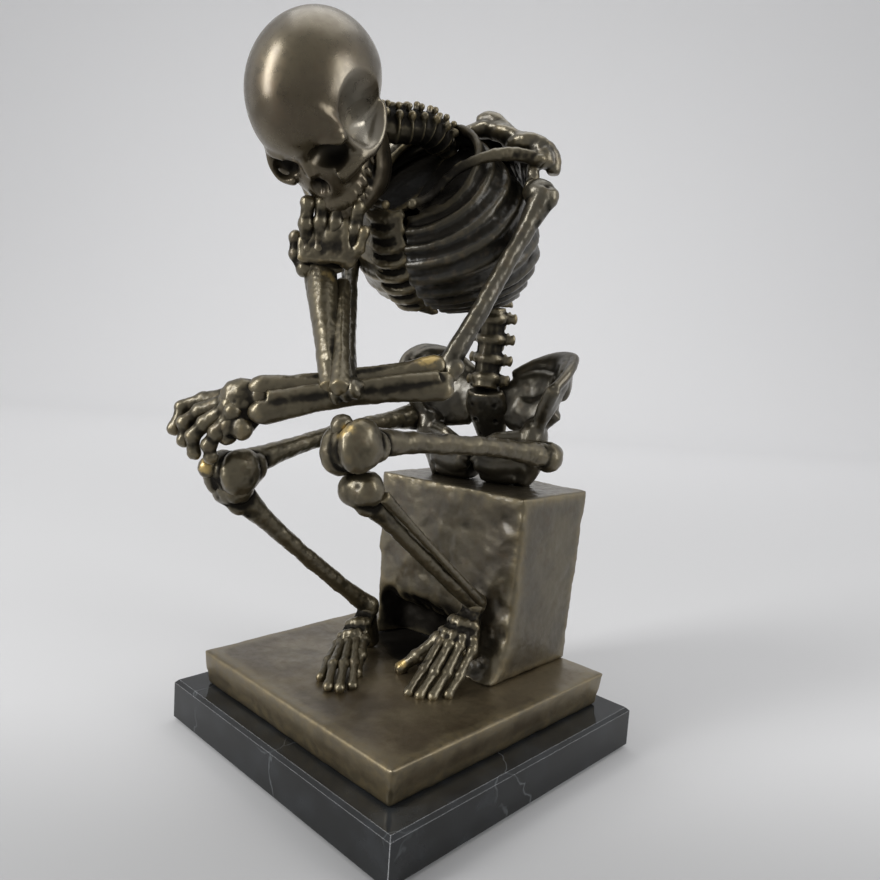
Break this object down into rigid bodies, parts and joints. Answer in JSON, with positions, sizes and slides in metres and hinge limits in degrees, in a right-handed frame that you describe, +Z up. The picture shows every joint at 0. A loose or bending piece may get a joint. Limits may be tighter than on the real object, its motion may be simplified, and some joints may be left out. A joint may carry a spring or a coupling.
{
  "type": "skeleton figure statue",
  "caption": "Bronze skeleton seated in thought on a rock, its chin on its hand, fixed to a square black marble plinth with felt underneath.",
  "frame": {"origin": "centre of the felt's flat underside, on the surface that the statue stands on", "axes": "+Z up, -Y the way the seated figure faces, +X to the figure's left"},
  "size_m": [0.161, 0.1915, 0.3241],
  "materials": {
    "bronze": "dark brown patina, satin, rubbed to gold on the high points",
    "marble": "polished black with thin pale veins",
    "felt": "dark green felt",
    "steel": "zinc plated"
  },
  "bodies": {
    "root": {"base_felt": "felt", "marble_plinth": "marble", "fixing_screw_left": "steel", "fixing_screw_right": "steel", "base_casting": "bronze", "seat_block": "bronze", "cranium": "bronze", "mandible": "bronze", "sternum": "bronze", "cervical_spine": "bronze", "thoracic_spine": "bronze", "lumbar_spine": "bronze", "sacrum": "bronze", "left_rib_cage": "bronze", "right_rib_cage": "bronze", "left_femur": "bronze", "right_femur": "bronze", "left_hip_bone": "bronze", "right_hip_bone": "bronze", "left_patella": "bronze", "right_patella": "bronze", "left_tibia": "bronze", "right_tibia": "bronze", "left_fibula": "bronze", "right_fibula": "bronze", "left_tarsus": "bronze", "right_tarsus": "bronze", "left_toe_1": "bronze", "left_toe_2": "bronze", "left_toe_3": "bronze", "left_toe_4": "bronze", "left_toe_5": "bronze", "right_toe_1": "bronze", "right_toe_2": "bronze", "right_toe_3": "bronze", "right_toe_4": "bronze", "right_toe_5": "bronze", "left_humerus": "bronze", "right_humerus": "bronze", "left_clavicle": "bronze", "right_clavicle": "bronze", "left_scapula": "bronze", "right_scapula": "bronze", "left_ulna": "bronze", "left_radius": "bronze", "right_radius": "bronze", "right_ulna": "bronze", "left_carpus": "bronze", "right_carpus": "bronze", "left_index_finger": "bronze", "left_middle_finger": "bronze", "left_ring_finger": "bronze", "left_little_finger": "bronze", "left_thumb_finger": "bronze", "right_thumb_finger": "bronze", "right_index_finger": "bronze", "right_middle_finger": "bronze", "right_ring_finger": "bronze", "right_little_finger": "bronze"}
  },
  "joints": []
}
